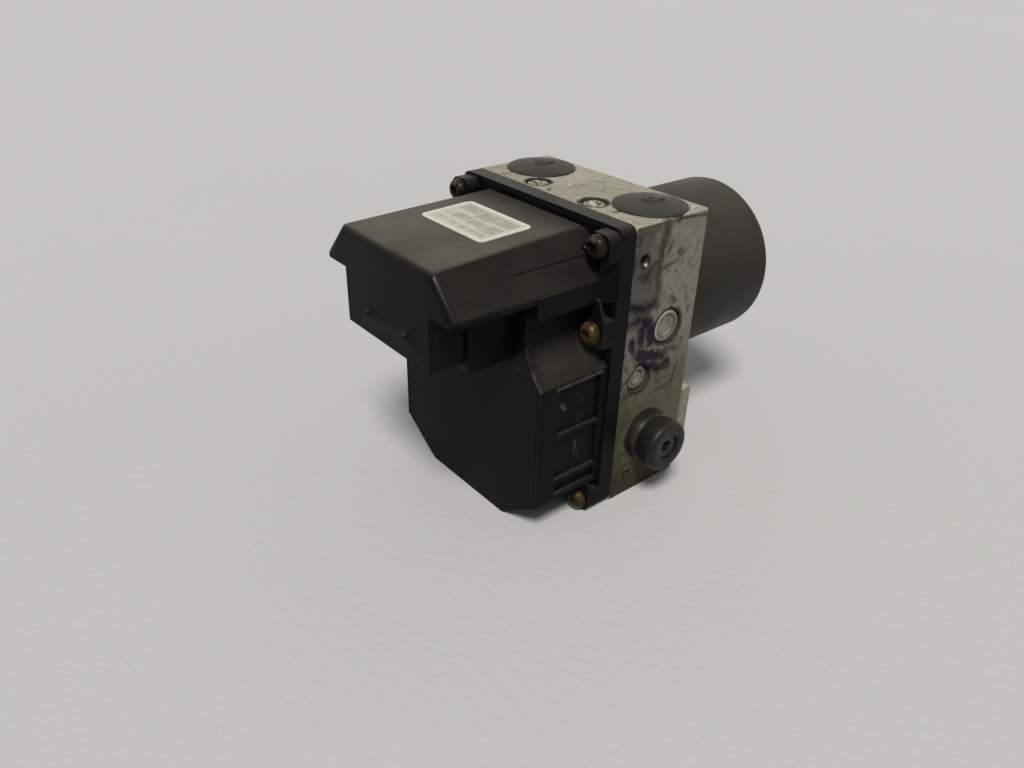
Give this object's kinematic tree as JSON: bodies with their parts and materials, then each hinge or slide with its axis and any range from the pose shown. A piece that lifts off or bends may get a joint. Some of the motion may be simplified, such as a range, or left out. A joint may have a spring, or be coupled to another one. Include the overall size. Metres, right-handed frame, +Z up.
{
  "type": "abs brake module",
  "caption": "Anti-lock brake unit: drilled aluminium valve block with a round pump motor behind and a black control unit with a hooded connector and label in front.",
  "frame": {"origin": "middle of the valve block's flat underside", "axes": "+Z up, +Y towards the pump motor's end, +X to the right when the control unit is looked at along +Y"},
  "size_m": [0.0998, 0.1536, 0.1024],
  "materials": {
    "block_metal": "sawn and milled, dulled by age",
    "black_housing": "fine moulded grain",
    "motor_paint": "satin black",
    "cap_plastic": "smooth, dusty",
    "steel": "turned",
    "zinc_steel": "yellowish zinc, partly rusty",
    "rubber": "dull",
    "label_paper": "printed film",
    "board": "solder mask",
    "copper": "enamelled wire",
    "magnet_ceramic": "sintered",
    "core_steel": "stacked sheet",
    "carbon": "pressed carbon",
    "pin_metal": "tinned"
  },
  "bodies": {
    "unit": {"accumulator_lid_left": "steel", "accumulator_lid_right": "steel", "accumulator_spring_left": "steel", "accumulator_spring_right": "steel", "brush_lower": "carbon", "brush_plate": "cap_plastic", "brush_upper": "carbon", "circuit_board": "board", "connector_pins": "pin_metal", "ecu_gasket": "rubber", "ecu_housing": "black_housing", "ecu_label": "label_paper", "ecu_lid": "black_housing", "ecu_screws": "zinc_steel", "front_bearing": "steel", "inlet_coil_1": "copper", "inlet_coil_2": "copper", "inlet_coil_3": "copper", "inlet_coil_4": "copper", "inlet_valve_1": "steel", "inlet_valve_2": "steel", "inlet_valve_3": "steel", "inlet_valve_4": "steel", "magnet_left": "magnet_ceramic", "magnet_right": "magnet_ceramic", "motor_can": "motor_paint", "mount_stud_left": "steel", "mount_stud_right": "steel", "outlet_coil_1": "copper", "outlet_coil_2": "copper", "outlet_coil_3": "copper", "outlet_coil_4": "copper", "outlet_valve_1": "steel", "outlet_valve_2": "steel", "outlet_valve_3": "steel", "outlet_valve_4": "steel", "port_cap_left": "cap_plastic", "port_cap_right": "cap_plastic", "pump_plug_left": "steel", "pump_plug_right": "steel", "pump_spring_left": "steel", "pump_spring_right": "steel", "rear_bearing": "steel", "rubber_mount_left": "rubber", "rubber_mount_right": "rubber", "sealing_balls": "steel", "side_plug_left": "steel", "side_plug_right": "steel", "top_gallery_plugs": "steel", "valve_block": "block_metal"},
    "rotor": {"motor_shaft": "steel", "armature_core": "core_steel", "armature_winding": "copper", "commutator": "copper"},
    "ring": {"eccentric_ring": "steel"},
    "pump_left": {"pump_piston_left": "steel"},
    "pump_right": {"pump_piston_right": "steel"},
    "accumulator_left": {"accumulator_piston_left": "block_metal"},
    "accumulator_right": {"accumulator_piston_right": "block_metal"}
  },
  "joints": [
    {"name": "rotor_spin", "type": "hinge", "parent": "unit", "child": "rotor", "pos_m": [0, 0, 0.0615], "axis": [0, 1, 0], "continuous": true},
    {"name": "ring_spin", "type": "hinge", "parent": "rotor", "child": "ring", "pos_m": [0, 0.0034, 0.0627], "axis": [0, 1, 0], "continuous": true},
    {"name": "pump_stroke_left", "type": "slide", "parent": "unit", "child": "pump_left", "axis": [1, 0, 0], "range_m": [0, 0.0012], "stiffness_N_per_m": 1500, "springref_m": 0.004, "deforming": ["pump_spring_left"]},
    {"name": "pump_stroke_right", "type": "slide", "parent": "unit", "child": "pump_right", "axis": [-1, 0, 0], "range_m": [0, 0.0012], "stiffness_N_per_m": 1500, "springref_m": 0.004, "deforming": ["pump_spring_right"]},
    {"name": "accumulator_stroke_left", "type": "slide", "parent": "unit", "child": "accumulator_left", "axis": [0, 0, -1], "range_m": [0, 0.008], "stiffness_N_per_m": 2000, "springref_m": -0.003, "deforming": ["accumulator_spring_left"]},
    {"name": "accumulator_stroke_right", "type": "slide", "parent": "unit", "child": "accumulator_right", "axis": [0, 0, -1], "range_m": [0, 0.008], "stiffness_N_per_m": 2000, "springref_m": -0.003, "deforming": ["accumulator_spring_right"]}
  ],
  "couplings": [
    {"joint": "ring_spin", "follows": "rotor_spin", "ratio": -1}
  ]
}
